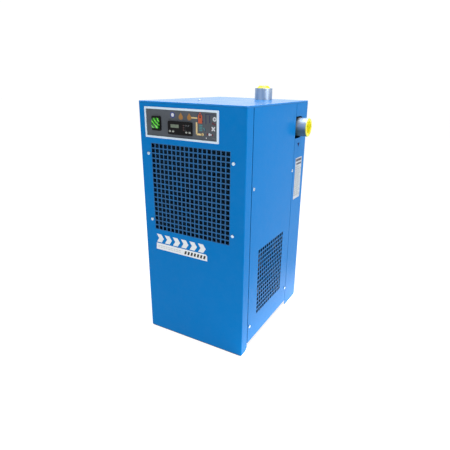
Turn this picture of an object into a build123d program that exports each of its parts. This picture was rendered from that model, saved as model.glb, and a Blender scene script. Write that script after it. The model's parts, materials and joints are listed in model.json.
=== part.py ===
from build123d import *
import os

# Refrigerated compressed-air dryer: a folded sheet-metal cabinet round a complete cold circuit.
# Millimetres. +X is the right side, +Y the back, +Z up. The origin is on the floor, midway
# between the four anchor holes. A pair such as (0, 5) is a span along one axis.

# Cabinet
width = 350
depth = 445
cover_height = 740
floor_gap = 3
sheet = 1.2
bend_radius = 2.5
top = floor_gap + cover_height
half_width = width / 2
front = -depth / 2
back = depth / 2
inner_x = half_width - sheet
inner_front = front + sheet
inner_back = back - sheet

# Seams between the covers, the side panels and the lid
lid_lip = 5
lid_gap = 0.4
lid_screw = (-59, -85)
front_return = 35
front_seam = front + front_return
front_seam_gap = 3.5
rear_seam = back - 104
rear_seam_gap = 2.5
joggle_overlap = 24
return_chamfer = 9
panel_bottom = 25
cover_top = top - lid_lip - lid_gap
rim_inset = 2
rim_height = 18
rim_shelf = 20
stiffener_width = 12

# Punched grilles
hole_side = 11.3
hole_pitch = 14.8
front_holes = (18, 18)
side_holes = (13, 15)
front_grille = (-4.5, 494)
side_grille = (-32, 211.5)

# Cover screws
screw_head_radius = 5
screw_head_height = 2.6
screw_radius = 2
screw_length = 7
screw_hole_radius = 2.2
front_screw_offset = 142.5
front_screw_x = [front_grille[0] - front_screw_offset, front_grille[0] + front_screw_offset]
front_screw_z = [front_grille[1] - 102, front_grille[1] + 102]
side_screw_y = [front + 48, rear_seam - 8.5]
side_screw_z = [82, 522]
rear_screw_x = [-140, 140]
rear_screw_z = [45, 400]

# Printed films
film = 0.25
decal_bands = [((-135, 53), 339.5, 25), ((-137, 53), 304.5, 21)]
plate_centre = (168.5, 486.5)
plate_size = (59, 144)
arrow_centre = (155, 602)
arrow_size = (19, 14)

# Control panel
panel_centre = (-30.5, 685.5)
panel_width = 247
panel_height = 85
window_margin = 4
bezel_rim = 5.6
bezel_proud = 2.5
sleeve_depth = 10
fascia_recess = 2
fascia_thick = 2
fascia_front = front - bezel_proud + fascia_recess
fascia_back = fascia_front + fascia_thick
switch_centre = (-112.3, 683.5)
switch_body = (29, 36.4)
rocker_pivot_y = front + 0.5
rocker_tilt = 9
rocker_half_width = 11.8
rocker_half_height = 14.2
rocker_axle_radius = 2
controller_centre = (-30, 675)
controller_width = 80
controller_height = 36
controller_proud = 5
controller_depth = 55
controller_front = fascia_front - controller_proud
display_x = (-60, -32)
display_z = (676, 685)
lamp_x = -16
lamp_z = [684, 678, 672]
lamp_radius = 1.5
button_x = [-62.5, -51.5, -7, 4]
button_z = 666
button_size = (7, 4.6)

# Base
pan_half_width = 172.4
deck_top = 62
plate_thick = 2
foot_depth = 34
anchor_x = 140
anchor_y = 204
anchor_radius = 5.5

# Air pipes and their plugs
pipe_radius = 29.5
pipe_bore = 24.5
pipe_y = 157
inlet_z = 661
inlet_end = half_width + 30
outlet_end = top + 36
inlet_drop_x = 110
outlet_x = 38
elbow_radius = 55
notch_radius = 35
pipe_clearance = 2
plug_flange = 1.6
plug_depth = 16
plug_wall = 3.5

# Heat exchanger
core_x = (-55, 140)
core_y = (100, 205)
core_z = (305, 592)
jacket_thick = 10
stand_feet = (18, 20)

# Condensate drain
drain_x = 110
separator_radius = 8
separator_end = 270
strainer_end = 235
lever_axis_z = 252
valve_z = (165, 195)
valve_half = 13
valve_axis_z = 180
core_tube_radius = 6.9
plunger_radius = 5
coil_y = (pipe_y - 50, pipe_y - 12)
spring_y = (coil_y[0] + 0.2, coil_y[0] + 12)
hose_radius = 5
spigot_thread = 8
spigot_z = 90
spigot_length = 20

# Compressor
compressor_x = 20
compressor_y = -30
shell_radius = 84
shell_wall = 3.5
shell_z = (82, 300)
shell_crown = 42
foot_plate_z = (78, 82)
mount_half_x = 80
mount_half_y = 62
stub_x = -72
discharge_stub = (compressor_y - 20, 240)
suction_stub = (compressor_y + 20, 150)

# Condenser and fan
condenser_half = 150
condenser_z = (354, 634)
core_front = front + 10
core_back = core_front + 44
shroud_back = -120
fan_x = front_grille[0]
fan_z = front_grille[1]
fan_y = -128
fan_radius = 126
fan_shaft_radius = 4
throat_clearance = 5
guard_y = -99.6
motor_front = -96
motor_back = -42

# Refrigerant circuit
drier_x = -110
drier_y = 90
drier_z = (130, 310)
bypass_x = -130
bypass_y = 20
bypass_z = 430
line_radius = 4
liquid_radius = 3.5
suction_radius = 8
capillary_radius = 1.2
capillary_turns = 5
capillary_rise = 1
header_z = (362, 625)
header_y = -190

# Electrical
gland_x = -120
gland_z = 100
gland_thread = 10
gland_bore = 5.5
loom_z = 700
electrical_y = -150
electrical_x = (-140, 110)
terminal_x = (-138, -58)
terminal_ways = 12
terminal_pitch = 6.6
capacitor_x = 138
capacitor_y = -165

nodes = {}


def block(x, y, z):
    size = [b - a for a, b in (x, y, z)]
    middle = [(a + b) / 2 for a, b in (x, y, z)]
    return Pos(*middle) * Box(*size)


def rod_x(radius, x, y, z):
    return Pos((x[0] + x[1]) / 2, y, z) * Rot(0, 90, 0) * Cylinder(radius, x[1] - x[0])


def rod_y(radius, x, y, z):
    return Pos(x, (y[0] + y[1]) / 2, z) * Rot(90, 0, 0) * Cylinder(radius, y[1] - y[0])


def rod_z(radius, x, y, z):
    return Pos(x, y, (z[0] + z[1]) / 2) * Cylinder(radius, z[1] - z[0])


def tube_run(points, radius, bends):
    """Round bar along straight runs joined by tangent bends."""
    path = FilletPolyline(*points, radius=bends)
    section = Plane(origin=path @ 0, z_dir=path % 0) * Circle(radius)
    return sweep(section, path=path)


def group(solids):
    return Compound(list(solids))


def punched_sheet(plane, size, holes):
    """Sheet with its outer face on the plane and a centred grid of square holes."""
    openings = []
    for column in range(holes[0]):
        for row in range(holes[1]):
            x = (column - (holes[0] - 1) / 2) * hole_pitch
            y = (row - (holes[1] - 1) / 2) * hole_pitch
            opening = Pos(x, y) * Rectangle(hole_side, hole_side)
            openings.append(opening.wire())
    outline = Rectangle(*size).wire()
    return extrude(plane * Face(outline, openings), amount=-sheet)


def grille_size(holes):
    """Outline of a punched field, half a bar wider than its outer holes all round."""
    return [count * hole_pitch for count in holes]


def span(centre, size):
    return (centre - size / 2, centre + size / 2)


def front_plane(x, y, z):
    """Plane facing the front, for sketches drawn in X and Z."""
    return Plane(origin=(x, y, z), x_dir=(1, 0, 0), z_dir=(0, -1, 0))


def both_sides(solid):
    return solid + mirror(solid, Plane.YZ)


# --- Cabinet -------------------------------------------------------------------------


def base_frame():
    """Deck on two hollow box feet, one along the front and one along the back."""
    pan_x = (-pan_half_width, pan_half_width)
    frame = block(pan_x, (inner_front, inner_back), (deck_top - plate_thick, deck_top))
    for near, far in ((inner_front, inner_front + foot_depth), (inner_back - foot_depth, inner_back)):
        foot = block(pan_x, (near, far), (0, deck_top - plate_thick))
        foot -= block(
            (pan_x[0] + plate_thick, pan_x[1] - plate_thick),
            (near + plate_thick, far - plate_thick),
            (plate_thick, deck_top - plate_thick),
        )
        frame += foot
    for x in (-anchor_x, anchor_x):
        for y in (-anchor_y, anchor_y):
            frame -= rod_z(anchor_radius, x, y, (-1, plate_thick + 1))
    for x in rear_screw_x:
        frame -= rod_y(screw_hole_radius, x, (inner_back - 5, inner_back + 1), rear_screw_z[0])
    return frame


def cover_shell(y_span):
    """Folded cover seen from above: a face with two returns, its two outer corners rounded."""
    outer = RectangleRounded(width, depth, bend_radius)
    inner = RectangleRounded(width - 2 * sheet, depth - 2 * sheet, bend_radius - sheet)
    ring = extrude(Pos(0, 0, floor_gap) * (outer - inner), amount=cover_top - floor_gap)
    return ring & block((-width, width), y_span, (0, top))


def cover_rim(wall_y, shelf_y):
    """Inset rim and shelf that the lid drops over."""
    x = (rim_inset - inner_x, inner_x - rim_inset)
    wall = block(x, wall_y, (top - rim_height, top - sheet))
    shelf = block(x, shelf_y, (top - 2 * sheet, top - sheet))
    return wall + shelf


def side_screw_holes(y):
    holes = [rod_x(screw_hole_radius, (-width, width), y, z) for z in side_screw_z]
    return holes[0] + holes[1]


def front_cover():
    """Front sheet with the punched grille, the panel window and two side returns."""
    cover = cover_shell((front - 1, front_seam))
    cover += cover_rim((inner_front, inner_front + sheet), (inner_front, inner_front + rim_shelf))
    joggle = block(
        (inner_x - sheet, inner_x),
        (front_seam - 5, front_seam + joggle_overlap),
        (panel_bottom, top - sheet),
    )
    cover += both_sides(joggle)
    size = grille_size(front_holes)
    field = block(
        span(front_grille[0], size[0]), (front - 1, inner_front + 1), span(front_grille[1], size[1])
    )
    cover -= field
    plane = Plane(origin=(front_grille[0], front, front_grille[1]), x_dir=(1, 0, 0), z_dir=(0, -1, 0))
    cover += punched_sheet(plane, size, front_holes)
    window = block(
        span(panel_centre[0], panel_width - 2 * window_margin),
        (front - 1, inner_front + 1),
        span(panel_centre[1], panel_height - 2 * window_margin),
    )
    cover -= window
    for x in front_screw_x:
        for z in front_screw_z:
            cover -= rod_y(screw_hole_radius, x, (front - 1, inner_front + 1), z)
    corner = Polyline(
        (front_seam - return_chamfer, floor_gap),
        (front_seam + 1, floor_gap - 1),
        (front_seam + 1, floor_gap + return_chamfer),
        (front_seam, floor_gap + return_chamfer),
        close=True,
    )
    cover -= extrude(Plane.YZ * make_face(corner), amount=width, both=True)
    return cover - side_screw_holes(side_screw_y[0])


def rear_cover():
    """Back sheet with two deep returns. The right one has the notch for the inlet pipe."""
    cover = cover_shell((rear_seam + rear_seam_gap, back + 1))
    cover += cover_rim((inner_back - sheet, inner_back), (inner_back - rim_shelf, inner_back))
    joggle = block(
        (inner_x - sheet, inner_x),
        (rear_seam - joggle_overlap, rear_seam + rear_seam_gap + 5),
        (panel_bottom, top - sheet),
    )
    cover += both_sides(joggle)
    notch = block(
        (inner_x - 3, half_width + 1),
        (rear_seam - joggle_overlap - 1, pipe_y),
        span(inlet_z, 2 * notch_radius),
    )
    notch += rod_x(notch_radius, (inner_x - 3, half_width + 1), pipe_y, inlet_z)
    cover -= notch
    for x in rear_screw_x:
        for z in rear_screw_z:
            cover -= rod_y(screw_hole_radius, x, (inner_back - 1, back + 1), z)
    cover -= rod_y(gland_thread + 0.2, gland_x, (inner_back - 1, back + 1), gland_z)
    cover -= rod_y(spigot_thread + 0.2, drain_x, (inner_back - 1, back + 1), spigot_z)
    return cover - side_screw_holes(side_screw_y[1])


def right_side_panel():
    """Flat panel with the low grille and folded stiffening edges at the top and bottom."""
    y = (front_seam + front_seam_gap, rear_seam)
    z = (panel_bottom, cover_top)
    panel = block((inner_x, half_width), y, z)
    fold_y = (front_seam + joggle_overlap + 1, rear_seam - joggle_overlap - 1)
    for edge in ((deck_top + 1, deck_top + 1 + sheet), (z[1] - sheet, z[1])):
        panel += block((inner_x - stiffener_width, inner_x), fold_y, edge)
    size = grille_size(side_holes)
    panel -= block(
        (inner_x - 1, half_width + 1), span(side_grille[0], size[0]), span(side_grille[1], size[1])
    )
    plane = Plane(origin=(half_width, *side_grille), x_dir=(0, 1, 0), z_dir=(1, 0, 0))
    panel += punched_sheet(plane, size, side_holes)
    for hole_y in side_screw_y:
        panel -= side_screw_holes(hole_y)
    return panel


def top_cover():
    """Shallow lid with rounded edges and a hole for the outlet pipe."""
    lid = Box(width, depth, lid_lip, align=(Align.CENTER, Align.CENTER, Align.MAX))
    lid = Pos(0, 0, top) * lid
    lid = fillet(lid.edges().filter_by(Axis.Z), bend_radius)
    lid = fillet(lid.faces().sort_by(Axis.Z)[-1].edges(), bend_radius)
    inner = RectangleRounded(width - 2 * sheet, depth - 2 * sheet, bend_radius - sheet)
    lid -= extrude(Pos(0, 0, top - lid_lip) * inner, amount=lid_lip - sheet)
    lid -= rod_z(pipe_radius + pipe_clearance, outlet_x, pipe_y, (top - 10, top + 1))
    return lid - rod_z(screw_hole_radius, *lid_screw, (top - 10, top + 1))


def screw(plane):
    """Pan-head screw: its head stands on the plane and its shank goes in behind it."""
    head = Cylinder(screw_head_radius, screw_head_height, align=(Align.CENTER, Align.CENTER, Align.MIN))
    rim = head.faces().sort_by(Axis.Z)[-1].edges()
    head = fillet(rim, 1.5)
    cross = Box(4.4, 0.9, 1.2) + Box(0.9, 4.4, 1.2)
    head -= Pos(0, 0, screw_head_height) * cross
    shank = Cylinder(screw_radius, screw_length, align=(Align.CENTER, Align.CENTER, Align.MAX))
    return plane * (head + shank)


def cover_screws():
    screws = []
    for x in front_screw_x:
        for z in front_screw_z:
            screws.append(screw(Plane(origin=(x, front, z), z_dir=(0, -1, 0))))
    for y in side_screw_y:
        for z in side_screw_z:
            screws.append(screw(Plane(origin=(half_width, y, z), z_dir=(1, 0, 0))))
            screws.append(screw(Plane(origin=(-half_width, y, z), z_dir=(-1, 0, 0))))
    for x in rear_screw_x:
        for z in rear_screw_z:
            screws.append(screw(Plane(origin=(x, back, z), z_dir=(0, 1, 0))))
    screws.append(screw(Plane(origin=(*lid_screw, top), z_dir=(0, 0, 1))))
    return group(screws)


# --- Printed films -------------------------------------------------------------------


def front_decal():
    """Two plain slanted bands under the grille."""
    bands = []
    for x, z, height in decal_bands:
        slant = height * 0.25
        outline = Polyline(
            (x[0], z - height / 2),
            (x[1] - slant, z - height / 2),
            (x[1], z + height / 2),
            (x[0] + slant, z + height / 2),
            close=True,
        )
        bands.append(extrude(front_plane(0, front, 0) * make_face(outline), amount=film))
    return group(bands)


def side_labels():
    """Data plate on the rear cover's right return, and the flow arrow under the inlet pipe."""
    y = span(plate_centre[0], plate_size[0])
    z = span(plate_centre[1], plate_size[1])
    plate = block((half_width, half_width + film), y, z)
    half_arrow = arrow_size[0] / 2
    half_rise = arrow_size[1] / 2
    outline = Polyline((-half_arrow, half_rise), (half_arrow, half_rise), (0, -half_rise), close=True)
    plane = Plane(origin=(half_width, *arrow_centre), x_dir=(0, 1, 0), z_dir=(1, 0, 0))
    return group([plate, extrude(plane * make_face(outline), amount=film)])


# --- Control panel -------------------------------------------------------------------


def panel_bezel():
    """Raised frame with a sleeve through the cover's window."""
    x = span(panel_centre[0], panel_width)
    z = span(panel_centre[1], panel_height)
    bezel = block(x, (front - bezel_proud, front), z)
    bezel = fillet(bezel.edges().filter_by(Axis.Y), 2)
    bezel = chamfer(bezel.faces().sort_by(Axis.Y)[0].edges(), 0.8)
    sleeve = block(
        span(panel_centre[0], panel_width - 2 * window_margin - 0.4),
        (front, front + sleeve_depth),
        span(panel_centre[1], panel_height - 2 * window_margin - 0.4),
    )
    opening = block(
        span(panel_centre[0], panel_width - 2 * bezel_rim),
        (front - bezel_proud - 1, front + sleeve_depth + 1),
        span(panel_centre[1], panel_height - 2 * bezel_rim),
    )
    return bezel + sleeve - opening


def panel_fascia():
    """Flat plate set back in the bezel, cut out for the switch and the controller."""
    fascia = block(
        span(panel_centre[0], panel_width - 2 * bezel_rim - 0.4),
        (fascia_front, fascia_back),
        span(panel_centre[1], panel_height - 2 * bezel_rim - 0.4),
    )
    for centre, cut_x, cut_z in (
        (switch_centre, switch_body[0] + 0.4, switch_body[1] + 0.4),
        (controller_centre, controller_width - 9.6, controller_height - 5.6),
    ):
        fascia -= block(
            span(centre[0], cut_x), (fascia_front - 1, fascia_back + 1), span(centre[1], cut_z)
        )
    return fascia


def switch_frame():
    """Black flange and body with the rocker's pocket."""
    x, z = switch_centre
    flange_x = span(x, switch_body[0] + 4)
    flange_z = span(z, switch_body[1] + 3.6)
    flange = block(flange_x, (fascia_front - 3, fascia_front), flange_z)
    flange = fillet(flange.edges().filter_by(Axis.Y), 4)
    flange = chamfer(flange.faces().sort_by(Axis.Y)[0].edges(), 0.8)
    body = block(span(x, switch_body[0]), (fascia_front, fascia_front + 28), span(z, switch_body[1]))
    terminals = block(span(x, 20), (fascia_front + 28, fascia_front + 36), span(z, 1.6))
    pocket = block(
        span(x, 2 * rocker_half_width + 0.6),
        (fascia_front - 4, fascia_front + 22),
        span(z, 2 * rocker_half_height + 3),
    )
    axle = rod_x(rocker_axle_radius + 0.05, span(x, 2 * rocker_half_width + 3.7), rocker_pivot_y, z)
    return flange + body + terminals - pocket - axle


def switch_rocker():
    """Crowned rocker on its own axle, tilted so that its lower end stands out."""
    crown = ThreePointArc((-9, rocker_half_height), (-11, 0), (-9, -rocker_half_height))
    rest = Polyline(
        (-9, -rocker_half_height), (-2, -rocker_half_height), (5, -9), (5, 9),
        (-2, rocker_half_height), (-9, rocker_half_height),
    )
    outline = make_face(crown + rest)
    plane = Plane(origin=(0, 0, 0), x_dir=(0, 1, 0), z_dir=(1, 0, 0))
    rocker = extrude(plane * outline, amount=rocker_half_width, both=True)
    edges = [e for e in rocker.edges() if e.center().Y < -6]
    rocker = fillet(edges, 2)
    rocker += rod_x(rocker_axle_radius, (-rocker_half_width - 1.7, rocker_half_width + 1.7), 0, 0)
    return Pos(switch_centre[0], rocker_pivot_y, switch_centre[1]) * Rot(-rocker_tilt, 0, 0) * rocker


def controller_housing():
    """Black panel-mounted controller: rounded front plate, body behind, key and lamp pockets."""
    x, z = controller_centre
    plate = block(
        span(x, controller_width), (controller_front, fascia_front), span(z, controller_height)
    )
    plate = fillet(plate.edges().filter_by(Axis.Y), 3)
    plate = fillet(plate.faces().sort_by(Axis.Y)[0].edges(), 1.2)
    body = block(
        span(x, controller_width - 10),
        (fascia_front, fascia_front + controller_depth),
        span(z, controller_height - 6),
    )
    housing = plate + body
    for key_x in button_x:
        pocket = SlotOverall(button_size[0] + 0.6, button_size[1] + 0.6)
        housing -= extrude(front_plane(key_x, controller_front + 3, button_z) * pocket, amount=5)
    housing -= block(display_x, (controller_front - 1, controller_front + 1), display_z)
    for z in lamp_z:
        housing -= rod_y(lamp_radius + 0.1, lamp_x, (controller_front - 1, controller_front + 2), z)
    return housing


def controller_display():
    x = (display_x[0] + 0.1, display_x[1] - 0.1)
    z = (display_z[0] + 0.1, display_z[1] - 0.1)
    return block(x, (controller_front + 0.2, controller_front + 1), z)


def controller_leds():
    y = (controller_front - 0.4, controller_front + 2)
    return group(rod_y(lamp_radius, lamp_x, y, z) for z in lamp_z)


def controller_button(key_x):
    plane = front_plane(key_x, controller_front + 2, button_z)
    key = extrude(plane * SlotOverall(*button_size), amount=3)
    return fillet(key.faces().sort_by(Axis.Y)[0].edges(), 0.6)


# --- Air circuit ---------------------------------------------------------------------


def inlet_pipe():
    points = [
        (inlet_end, pipe_y, inlet_z),
        (inlet_drop_x, pipe_y, inlet_z),
        (inlet_drop_x, pipe_y, core_z[1]),
    ]
    return tube_run(points, pipe_radius, elbow_radius) - tube_run(points, pipe_bore, elbow_radius)


def outlet_pipe():
    z = (core_z[1], outlet_end)
    pipe = rod_z(pipe_radius, outlet_x, pipe_y, z)
    return pipe - rod_z(pipe_bore, outlet_x, pipe_y, z)


def inlet_plug():
    """Dished push-in plug: a cup with a flange on the pipe's end and a rib across its floor."""
    inside = (Align.CENTER, Align.CENTER, Align.MAX)
    plug = Cylinder(pipe_bore - 0.2, plug_depth, align=inside)
    plug += Cylinder(pipe_radius - 0.5, plug_flange, align=(Align.CENTER, Align.CENTER, Align.MIN))
    plug = fillet(plug.faces().sort_by(Axis.Z)[-1].edges(), 0.7)
    plug -= Pos(0, 0, 2) * Cylinder(pipe_bore - plug_wall, plug_depth - 3, align=inside)
    plug += Pos(0, 0, -plug_depth / 2 - 3.5) * Box(2 * (pipe_bore - plug_wall), 2.4, 7)
    return Plane(origin=(inlet_end, pipe_y, inlet_z), x_dir=(0, 1, 0), z_dir=(1, 0, 0)) * plug


def outlet_plug():
    """Push-in plug with a low tapered head, hollow underneath."""
    radius = pipe_bore - 0.2
    head = Cone(radius - 2, 15, 8, align=(Align.CENTER, Align.CENTER, Align.MIN))
    head = fillet(head.faces().sort_by(Axis.Z)[-1].edges(), 2.5)
    plug = head + Cylinder(radius, plug_depth, align=(Align.CENTER, Align.CENTER, Align.MAX))
    hollow = Cylinder(radius - plug_wall, plug_depth + 1, align=(Align.CENTER, Align.CENTER, Align.MAX))
    return Pos(outlet_x, pipe_y, outlet_end) * (plug - hollow)


def exchanger_core():
    """Aluminium block: both air passages, the evaporator and the separator's drain neck."""
    core = block(core_x, core_y, core_z)
    return core + rod_z(separator_radius, drain_x, pipe_y, (separator_end, core_z[0]))


def exchanger_jacket():
    """Foam box round the core, open for the two pipes and the drain neck."""
    outer = [(low - jacket_thick, high + jacket_thick) for low, high in (core_x, core_y, core_z)]
    jacket = block(*outer) - block(core_x, core_y, core_z)
    for x in (outlet_x, inlet_drop_x):
        jacket -= rod_z(pipe_radius + pipe_clearance, x, pipe_y, (core_z[1] - 1, outer[2][1] + 1))
    return jacket - rod_z(separator_radius + 0.4, drain_x, pipe_y, (outer[2][0] - 1, core_z[0] + 1))


def exchanger_stand():
    """Folded bracket from the deck to the underside of the jacket."""
    x = (core_x[0] - jacket_thick, core_x[1] + jacket_thick)
    z = core_z[0] - jacket_thick
    stand = block(x, core_y, (z - plate_thick, z))
    for side in (x[0], x[1] - plate_thick):
        stand += block((side, side + plate_thick), core_y, (deck_top, z))
    stand += block((x[0] - stand_feet[0], x[0]), core_y, (deck_top, deck_top + plate_thick))
    stand += block((x[1] - stand_feet[1], x[1]), core_y, (deck_top, deck_top + plate_thick))
    return stand - rod_z(separator_radius + 1, drain_x, pipe_y, (z - 5, z + 1))


def drain_strainer():
    """Y strainer and ball valve in one body, with the lever's stem boss on its front."""
    body = rod_z(12, drain_x, pipe_y, (strainer_end + 4, separator_end - 4))
    hexagon = RegularPolygon(13, 6)
    for z in (strainer_end, separator_end - 8):
        body += extrude(Pos(drain_x, pipe_y, z) * hexagon, amount=8)
    leg_length = 34
    leg = Pos(0, 0, leg_length / 2) * Cylinder(7, leg_length)
    body += Pos(drain_x, pipe_y, lever_axis_z) * Rot(0, 125, 0) * leg
    body += rod_y(6, drain_x, (pipe_y - 18, pipe_y), lever_axis_z)
    body += rod_z(5, drain_x, pipe_y, (valve_z[1], strainer_end))
    return body - rod_y(3.05, drain_x, (pipe_y - 19, pipe_y - 10), lever_axis_z)


def drain_lever():
    """Lever plate on the ball's stem, hanging along the pipe when the valve is open."""
    z = (lever_axis_z - 40, lever_axis_z + 6)
    lever = block(span(drain_x, 9), (pipe_y - 21, pipe_y - 18.5), z)
    lever = fillet(lever.edges().filter_by(Axis.Y), 3)
    return lever + rod_y(3, drain_x, (pipe_y - 20, pipe_y - 11), lever_axis_z)


def drain_valve():
    """Brass solenoid valve body with its closed core tube lying towards the front."""
    body = block(span(drain_x, 2 * valve_half), (coil_y[1], pipe_y + valve_half - 1), valve_z)
    body += rod_y(core_tube_radius, drain_x, (coil_y[0] - 3, coil_y[1]), valve_axis_z)
    body -= rod_y(plunger_radius + 0.1, drain_x, (coil_y[0], pipe_y - 8), valve_axis_z)
    return body


def drain_coil():
    coil = block(span(drain_x, 30), coil_y, span(valve_axis_z, 30))
    coil = fillet(coil.edges().filter_by(Axis.Y), 4)
    plug_y = (coil_y[0] + 8, coil_y[0] + 30)
    coil += block(span(drain_x, 18), plug_y, (valve_axis_z - 27, valve_axis_z - 15))
    return coil - rod_y(core_tube_radius + 0.2, drain_x, (coil_y[0] - 1, coil_y[1] + 1), valve_axis_z)


def drain_plunger():
    return rod_y(plunger_radius, drain_x, (spring_y[1] + 0.4, pipe_y - 8.2), valve_axis_z)


def drain_spring():
    """Return spring behind the plunger."""
    helix = Helix(pitch=2.2, height=spring_y[1] - spring_y[0] - 1, radius=3.4)
    section = Plane(origin=helix @ 0, z_dir=helix % 0) * Circle(0.4)
    spring = sweep(section, path=helix, is_frenet=True)
    return Pos(drain_x, spring_y[0] + 0.6, valve_axis_z) * Rot(-90, 0, 0) * spring


def drain_hose():
    points = [
        (drain_x, pipe_y, valve_z[0]),
        (drain_x, pipe_y, spigot_z),
        (drain_x, inner_back - 10, spigot_z),
    ]
    return tube_run(points, hose_radius, 30)


def drain_outlet():
    """Bulkhead fitting with a plain spigot for the drain tube."""
    fitting = rod_y(spigot_thread, drain_x, (inner_back - 8, back), spigot_z)
    fitting += rod_y(6, drain_x, (inner_back - 10, inner_back - 8), spigot_z)
    nut = RegularPolygon(12, 6)
    fitting += extrude(front_plane(drain_x, inner_back, spigot_z) * nut, amount=5)
    fitting += extrude(front_plane(drain_x, back + 5, spigot_z) * nut, amount=5)
    spigot_end = back + 5 + spigot_length
    fitting += rod_y(hose_radius, drain_x, (back + 5, spigot_end), spigot_z)
    return fitting - rod_y(3, drain_x, (inner_back - 6, spigot_end + 1), spigot_z)


# --- Refrigerant circuit -------------------------------------------------------------


def mount_points():
    for side_x in (-1, 1):
        for side_y in (-1, 1):
            yield compressor_x + side_x * mount_half_x, compressor_y + side_y * mount_half_y


def crowned_can(inset):
    """Upright can with domed ends, the shell's outline moved in by the inset."""
    z = (shell_z[0] + inset, shell_z[1] - inset)
    can = rod_z(shell_radius - inset, compressor_x, compressor_y, z)
    return fillet(can.edges().filter_by(GeomType.CIRCLE), shell_crown - inset)


def compressor_shell():
    """Hermetic shell welded to its foot plate, with suction and discharge stubs."""
    shell = crowned_can(0)
    shell += rod_z(shell_radius + 3, compressor_x, compressor_y, (188, 194))
    plate_x = span(compressor_x, 2 * mount_half_x + 34)
    plate_y = span(compressor_y, 2 * mount_half_y + 34)
    plate = block(plate_x, plate_y, foot_plate_z)
    plate = fillet(plate.edges().filter_by(Axis.Z), 14)
    for x, y in mount_points():
        plate -= rod_z(8.3, x, y, (foot_plate_z[0] - 1, foot_plate_z[1] + 1))
    shell += plate
    for radius, (y, z) in ((6, discharge_stub), (11, suction_stub)):
        shell += rod_x(radius, (stub_x, compressor_x - 60), y, z)
    return shell - crowned_can(shell_wall)


def compressor_motor():
    """Sealed motor and pump block, standing on the bottom of the shell."""
    motor = rod_z(36, compressor_x, compressor_y, (shell_z[0] + shell_wall, 150))
    motor += rod_z(58, compressor_x, compressor_y, (150, 240))
    return motor + block(span(compressor_x, 70), span(compressor_y, 70), (240, 282))


def compressor_cover():
    """Terminal cover against the shell's right side."""
    cover = block((98, 134), span(compressor_y, 64), (205, 270))
    cover = fillet(cover.faces().sort_by(Axis.X)[-1].edges(), 5)
    return cover - rod_z(shell_radius + 0.3, compressor_x, compressor_y, (200, 280))


def compressor_grommets():
    rubbers = []
    for x, y in mount_points():
        rubber = rod_z(14, x, y, (deck_top, foot_plate_z[0]))
        rubber += rod_z(8, x, y, (foot_plate_z[0], foot_plate_z[1] + 2))
        rubbers.append(rubber - rod_z(4.3, x, y, (deck_top - 1, foot_plate_z[1] + 3)))
    return group(rubbers)


def compressor_bolts():
    bolts = []
    for x, y in mount_points():
        washer_z = (foot_plate_z[1] + 2, foot_plate_z[1] + 3.5)
        bolt = rod_z(4, x, y, (deck_top, 98)) + rod_z(12, x, y, washer_z)
        bolts.append(bolt + extrude(Pos(x, y, washer_z[1]) * RegularPolygon(7.5, 6), amount=6.5))
    return group(bolts)


def condenser_core():
    """Finned block between the end plates."""
    z = (condenser_z[0] + 3, condenser_z[1] - 3)
    return block(span(fan_x, 2 * condenser_half - 3), (core_front, core_back), z)


def condenser_plates():
    """End plates folded forwards on to the front cover, where the grille screws hold them."""
    plates = []
    for side in (-1, 1):
        outer = fan_x + side * condenser_half
        inner = outer - side * 1.5
        flange = outer - side * 16
        plate = block(sorted((outer, inner)), (inner_front, core_back + 4), condenser_z)
        plate += block(sorted((outer, flange)), (inner_front, inner_front + 1.5), condenser_z)
        for z in front_screw_z:
            hole_x = fan_x + side * front_screw_offset
            plate -= rod_y(screw_hole_radius, hole_x, (inner_front - 1, inner_front + 2), z)
        plates.append(plate)
    return group(plates)


def condenser_bends():
    """Return bends of the tubes that stick out of both end plates."""
    bends = []
    for side in (-1, 1):
        for y in (core_front + 12, core_back - 12):
            for turn in range(7):
                z = fan_z + (turn - 3) * 36
                half_ring = Torus(9, 4) & Pos(side * 20, 0, 0) * Box(40, 40, 20)
                bends.append(Pos(fan_x + side * condenser_half, y, z) * Rot(90, 0, 0) * half_ring)
    return group(bends)


def fan_shroud():
    """Sheet box behind the condenser with a short round throat."""
    x = span(fan_x, 2 * condenser_half - 4)
    z = (condenser_z[0] + 3, condenser_z[1] - 3)
    shroud = block(x, (core_back, shroud_back), z)
    shroud -= block((x[0] + 1.5, x[1] - 1.5), (core_back, shroud_back - 1.5), (z[0] + 1.5, z[1] - 1.5))
    throat = fan_radius + throat_clearance
    shroud += rod_y(throat + 1.5, fan_x, (shroud_back - 16, shroud_back), fan_z)
    return shroud - rod_y(throat, fan_x, (core_back, shroud_back + 1), fan_z)


def fan_guard():
    """Wire guard with a centre plate that carries the motor."""
    guard = rod_y(46, fan_x, (motor_front - 2, motor_front), fan_z)
    guard += rod_y(46, fan_x, (guard_y - 1.6, motor_front - 2), fan_z)
    guard -= rod_y(10, fan_x, (guard_y - 2, motor_front + 1), fan_z)
    for ring_radius in (66, 88, 110, 130):
        guard += Pos(fan_x, guard_y, fan_z) * Rot(90, 0, 0) * Torus(ring_radius, 1.6)
    for quarter in range(4):
        turn = Pos(fan_x, 0, fan_z) * Rot(0, 45 + 90 * quarter, 0)
        guard += turn * rod_x(2, (42, 150), guard_y, 0)
        guard += turn * rod_y(2, 148, (shroud_back, guard_y), 0)
    return guard


def fan_motor():
    motor = rod_y(42, fan_x, (motor_front, motor_back), fan_z)
    motor = fillet(motor.edges().filter_by(GeomType.CIRCLE).sort_by(Axis.Y)[-1], 6)
    return motor - rod_y(fan_shaft_radius + 0.06, fan_x, (motor_front - 1, motor_back - 18), fan_z)


def fan_shaft():
    return rod_y(fan_shaft_radius, fan_x, (fan_y - 10, motor_back - 19), fan_z)


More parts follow.
